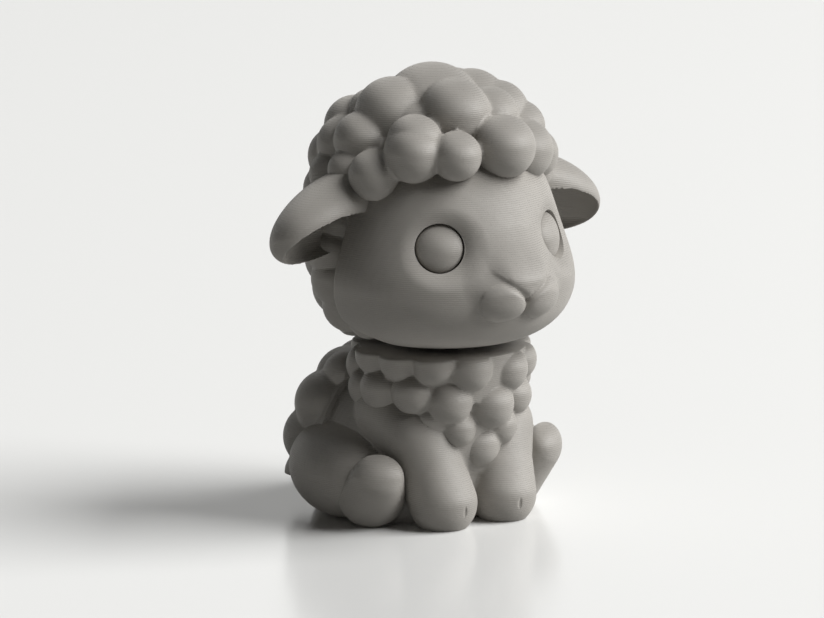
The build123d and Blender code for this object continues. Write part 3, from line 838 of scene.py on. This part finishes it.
class LAMB_OT_torso(Operator):
    """Model the torso, running smoothly into both forelegs"""

    bl_idname = "lamb.torso"
    bl_label = "Torso and Forelegs"

    def execute(self, context):
        bm = bmesh.new()
        add_ball(bm, BACK_MIDDLE, RUMP_RADIUS)
        add_ball(bm, CHEST_MIDDLE, CHEST_RADIUS)
        for side in SIDES.values():
            add_limb(bm, [(on_side(place, side), radius) for place, radius in FORELEG_BALLS])
        bm = joined(bm, context.scene.lamb_sizes.body_grain, rounds=2)
        cut_flat(bm, (0, 0, 0), (0, 0, -1))
        cut_flat(bm, (0, 0, TORSO_TOP), (0, 0, 1))
        # A short cleft in the front of each hoof
        clefts = bmesh.new()
        for side in SIDES.values():
            add_ball(clefts, on_side(CLEFT_PLACE, side), 1.0, CLEFT_HALF, detail=4)
        bm = cut_by(bm, clefts)
        place_piece(
            bm, "lamb_torso", "body", ["torso", "right_foreleg", "left_foreleg"],
            layered_print("Matt PLA body"), crisp=60,
        )
        return {"FINISHED"}


class LAMB_OT_hind_legs(Operator):
    """Model the folded thighs and the upright hind feet"""

    bl_idname = "lamb.hind_legs"
    bl_label = "Thighs and Hind Feet"

    def execute(self, context):
        grain = context.scene.lamb_sizes.body_grain
        for name, side in SIDES.items():
            bm = bmesh.new()
            turn = Matrix.Rotation(radians(side * THIGH_TURN), 4, "Z")
            add_ball(bm, on_side(THIGH_PLACE, side), 1.0, THIGH_HALF, turn)
            bm = joined(bm, grain, rounds=2)
            cut_flat(bm, (0, 0, 0), (0, 0, -1))
            place_piece(
                bm, f"lamb_{name}_thigh", "body", [f"{name}_thigh"], layered_print("Matt PLA body"),
            )
            bm = bmesh.new()
            turn = Matrix.Rotation(radians(side * FOOT_TURN), 4, "Z")
            add_ball(bm, on_side(HEEL_PLACE, side), 1.0, HEEL_HALF, turn)
            across, forward, height = on_side(TOE_PLACE, side)
            add_ball(bm, (across, forward, height + TOE_UNEVENNESS * side), 1.0, TOE_HALF, turn)
            wrap_new(bm, 0)
            bm = joined(bm, grain, rounds=3)
            cut_flat(bm, (0, 0, 0), (0, 0, -1))
            place_piece(
                bm, f"lamb_{name}_hind_foot", "body", [f"{name}_hind_foot"],
                layered_print("Matt PLA body"),
            )
        return {"FINISHED"}


class LAMB_OT_tail(Operator):
    """Model the small curled tail"""

    bl_idname = "lamb.tail"
    bl_label = "Tail"

    def execute(self, context):
        bm = bmesh.new()
        for place, radius in TAIL_BALLS:
            add_ball(bm, place, radius)
        bm = joined(bm, context.scene.lamb_sizes.fleece_grain, rounds=1)
        place_piece(bm, "lamb_tail", "body", ["tail"], layered_print("Matt PLA fleece"))
        return {"FINISHED"}


class LAMB_OT_neck_pin(Operator):
    """Give the neck pin its printed plastic"""

    bl_idname = "lamb.neck_pin"
    bl_label = "Neck Pin"

    def execute(self, context):
        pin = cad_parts["neck_pin"]
        pin.data.materials.clear()
        pin.data.materials.append(layered_print("Matt PLA pin"))
        return {"FINISHED"}


def seen_directly(tree):
    """One for camera and mirror rays, and zero for all others, which spread the light."""
    path = node(tree, "ShaderNodeLightPath")
    seen = node(
        tree, "ShaderNodeMath", {"operation": "MAXIMUM"},
        {0: path.outputs["Is Camera Ray"], 1: path.outputs["Is Glossy Ray"]},
    )
    return seen.outputs[0]


def satin_floor(colours):
    """Satin white sheet plastic: a bright pale ground with a soft, blurred mirror image.

    The camera and mirror rays see the sheet as white as it is written. The other rays see
    about half of that, so that it throws less light up at the lamb.
    """
    material = bpy.data.materials.new("Satin sheet plastic")
    material.use_nodes = True
    tree = material.node_tree
    tree.nodes.clear()
    seen = seen_directly(tree)
    tone = node(tree, "ShaderNodeMapRange", {"To Min": FLOOR_BOUNCE, "To Max": 1.0}, {"Value": seen})
    colour = node(
        tree, "ShaderNodeVectorMath", {"operation": "SCALE", 0: linear(colours.floor)[:3]},
        {"Scale": tone.outputs["Result"]},
    )
    sheet = node(
        tree, "ShaderNodeBsdfPrincipled", {"Roughness": 0.2, "IOR": 1.5}, {"Base Color": colour.outputs[0]},
    )
    node(tree, "ShaderNodeOutputMaterial", links={"Surface": sheet.outputs[0]})
    return material


class LAMB_OT_stage(Operator):
    """Set the pale floor, the soft studio light and the camera"""

    bl_idname = "lamb.stage"
    bl_label = "Stage"

    def execute(self, context):
        scene = context.scene
        colours = scene.lamb_colours
        bm = bmesh.new()
        bmesh.ops.create_grid(bm, x_segments=8, y_segments=8, size=FLOOR_SIZE)
        mesh = bpy.data.meshes.new("floor")
        bm.to_mesh(mesh)
        bm.free()
        floor = bpy.data.objects.new("floor", mesh)
        floor.data.materials.append(satin_floor(colours))
        scene.collection.objects.link(floor)

        # The camera stands at the lamb's front right, slightly above it
        turn, rise = radians(CAMERA_TURN), radians(CAMERA_RISE)
        back = Vector((-sin(turn) * cos(rise), -cos(turn) * cos(rise), sin(rise)))
        right = Vector((cos(turn), -sin(turn), 0))
        up = back.cross(right)
        aim = Vector(LAMB_MIDDLE) - right * AIM_LEFT - up * AIM_DOWN
        lens = bpy.data.cameras.new("camera")
        lens.sensor_width = SENSOR_WIDTH
        lens.lens = CAMERA_LENS
        lens.clip_end = CAMERA_CLIP_END
        camera = bpy.data.objects.new("camera", lens)
        camera.location = aim + back * CAMERA_DISTANCE
        camera.rotation_euler = back.to_track_quat("Z", "Y").to_euler()
        scene.collection.objects.link(camera)
        scene.camera = camera

        # One broad soft window to the upper right of the camera
        window = bpy.data.lights.new("window", "AREA")
        window.shape = "SQUARE"
        window.size = WINDOW_SIZE
        window.energy = WINDOW_POWER
        light = bpy.data.objects.new("window", window)
        to_right, to_back, to_up = WINDOW_DIRECTION
        toward = (right * to_right + back * to_back + up * to_up).normalized()
        light.location = aim + toward * WINDOW_DISTANCE
        light.rotation_euler = toward.to_track_quat("Z", "Y").to_euler()
        scene.collection.objects.link(light)

        # The camera and mirror rays see a white surround, and the fill is faint
        world = bpy.data.worlds.new("white surround")
        scene.world = world
        world.use_nodes = True
        tree = world.node_tree
        tree.nodes.clear()
        seen = seen_directly(tree)
        fill = node(tree, "ShaderNodeBackground", {"Color": linear("ffffff"), "Strength": ROOM_FILL})
        white = node(tree, "ShaderNodeBackground", {"Color": linear(colours.backdrop), "Strength": 1.0})
        mix = node(tree, "ShaderNodeMixShader", links={0: seen, 1: fill.outputs[0], 2: white.outputs[0]})
        node(tree, "ShaderNodeOutputWorld", links={"Surface": mix.outputs[0]})
        scene.view_settings.view_transform = "Standard"
        return {"FINISHED"}


OPERATORS = (
    LAMB_OT_face, LAMB_OT_eyes, LAMB_OT_ears, LAMB_OT_head_fleece, LAMB_OT_collar,
    LAMB_OT_back_fleece, LAMB_OT_torso, LAMB_OT_hind_legs, LAMB_OT_tail, LAMB_OT_neck_pin,
    LAMB_OT_stage,
)


class LAMB_PT_panel(Panel):
    bl_idname = "LAMB_PT_panel"
    bl_label = "Seated Lamb"
    bl_space_type = "VIEW_3D"
    bl_region_type = "UI"
    bl_category = "Lamb"

    def draw(self, context):
        layout = self.layout
        for group in (context.scene.lamb_sizes, context.scene.lamb_colours):
            box = layout.box()
            for name in group.bl_rna.properties.keys():
                if name not in ("rna_type", "name"):
                    box.prop(group, name)
        for operator in OPERATORS:
            layout.operator(operator.bl_idname)


CLASSES = (LambSizes, LambColours, *OPERATORS, LAMB_PT_panel)


def register():
    for cls in CLASSES:
        bpy.utils.register_class(cls)
    bpy.types.Scene.lamb_sizes = PointerProperty(type=LambSizes)
    bpy.types.Scene.lamb_colours = PointerProperty(type=LambColours)


def unregister():
    del bpy.types.Scene.lamb_colours
    del bpy.types.Scene.lamb_sizes
    for cls in reversed(CLASSES):
        bpy.utils.unregister_class(cls)


def main():
    register()
    for operator in OPERATORS:
        group, name = operator.bl_idname.split(".")
        getattr(getattr(bpy.ops, group), name)()


if __name__ == "__main__":
    main()
